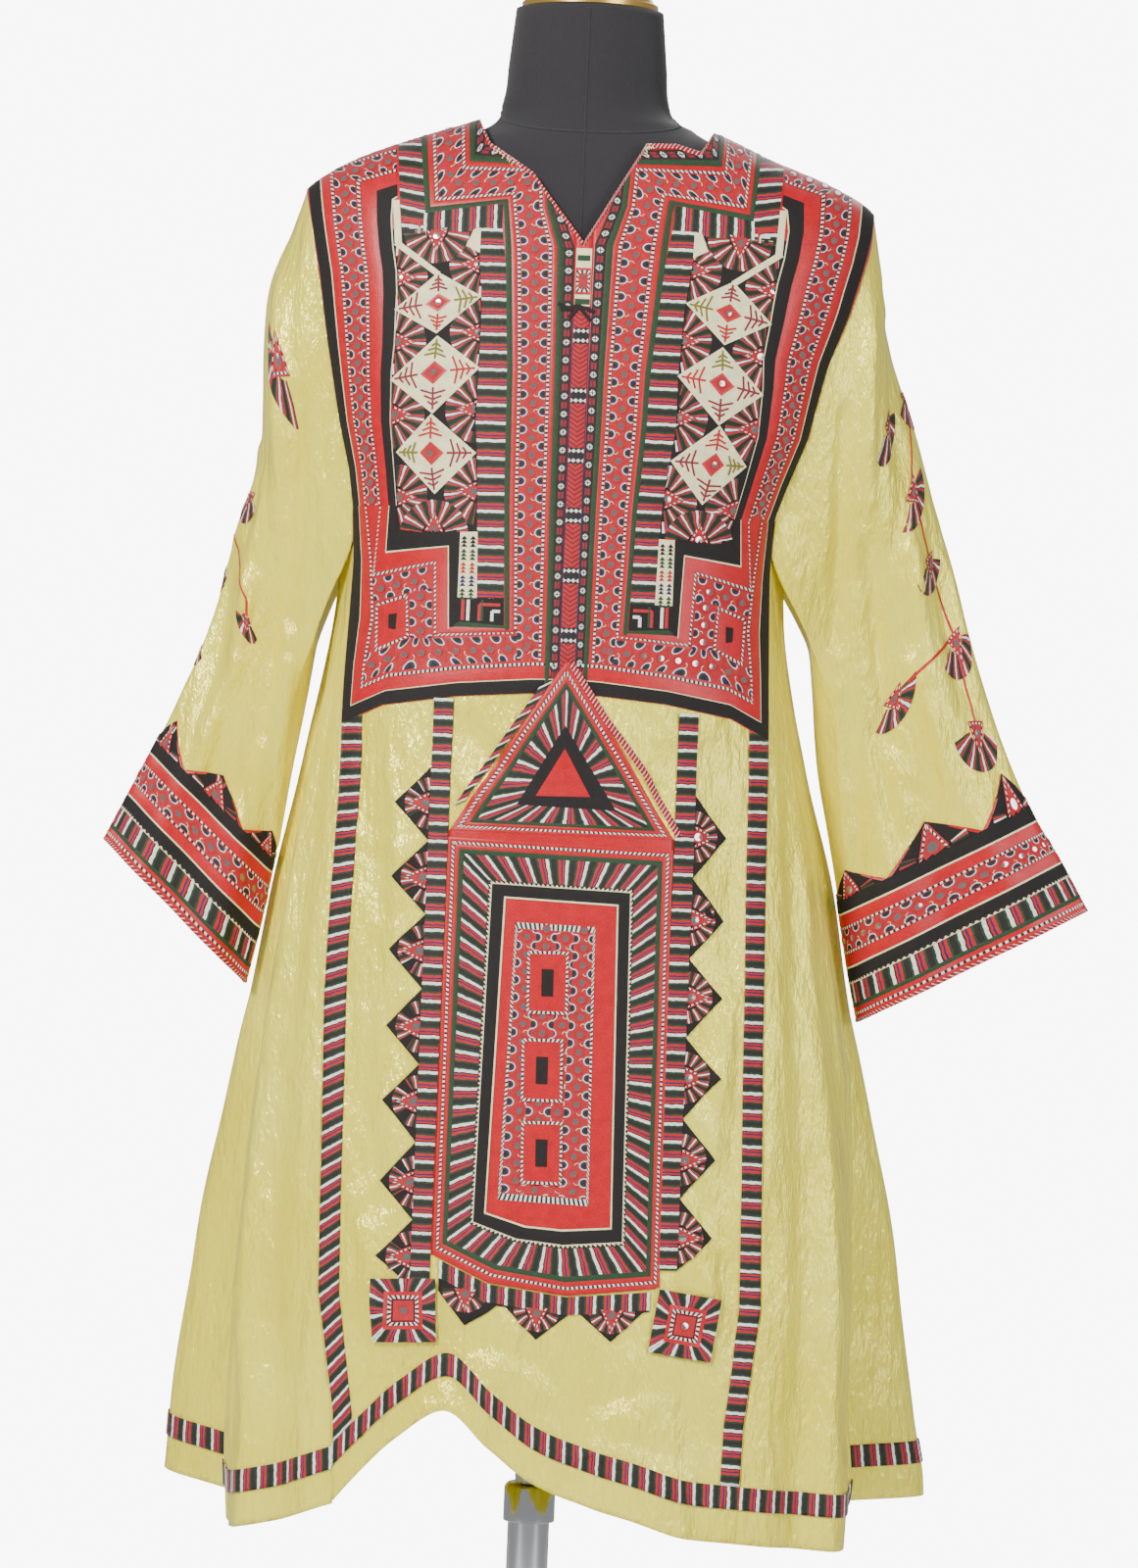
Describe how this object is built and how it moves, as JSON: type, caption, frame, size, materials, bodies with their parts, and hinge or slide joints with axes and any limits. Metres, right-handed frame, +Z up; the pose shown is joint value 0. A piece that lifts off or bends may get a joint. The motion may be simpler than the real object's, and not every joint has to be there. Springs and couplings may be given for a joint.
{
  "type": "embroidered dress on a dress form",
  "caption": "Long-sleeved satin dress with an embroidered bib, pointed pocket and cuffs, worn on a limbless dress form with a telescopic stand.",
  "frame": {"origin": "centre of the base's underside, on the floor under the mast", "axes": "+Z up along the mast, the dress faces -Y, +X is to the right of someone who faces it"},
  "size_m": [0.7107, 0.344, 1.43],
  "materials": {
    "satin": "pale yellow satin with a soft sheen",
    "embroidery": "dense red, black, green and white thread with small mirrors",
    "tape": "striped thread tape",
    "form_cloth": "matte charcoal knit",
    "cap": "satin brass",
    "chrome": "polished chrome",
    "base_metal": "satin silver"
  },
  "bodies": {
    "stand": {"base": "base_metal", "lower_tube": "chrome", "collar": "chrome"},
    "mast": {"mast": "chrome"},
    "dressed_form": {"form": "form_cloth", "neck_cap": "cap", "front_panel": "satin", "back_panel": "satin", "side_gore_left": "satin", "side_gore_right": "satin", "sleeve_left": "satin", "sleeve_right": "satin", "bib_left": "embroidery", "bib_right": "embroidery", "placket": "embroidery", "pocket": "embroidery", "cuff_left": "embroidery", "cuff_right": "embroidery", "corner_square_left": "embroidery", "corner_square_right": "embroidery", "pocket_band_left": "tape", "pocket_band_right": "tape", "pocket_band_bottom": "tape", "seam_tape_left": "tape", "seam_tape_right": "tape", "hem_tape_front": "tape", "hem_tape_back": "tape", "hem_tape_left": "tape", "hem_tape_right": "tape"}
  },
  "joints": [
    {"name": "mast_height", "type": "slide", "parent": "stand", "child": "mast", "axis": [0, 0, 1], "range_m": [-0.05, 0.2]},
    {"name": "form_swivel", "type": "hinge", "parent": "mast", "child": "dressed_form", "pos_m": [0, 0, 0.7], "axis": [0, 0, 1], "range_deg": [-180, 180]}
  ]
}
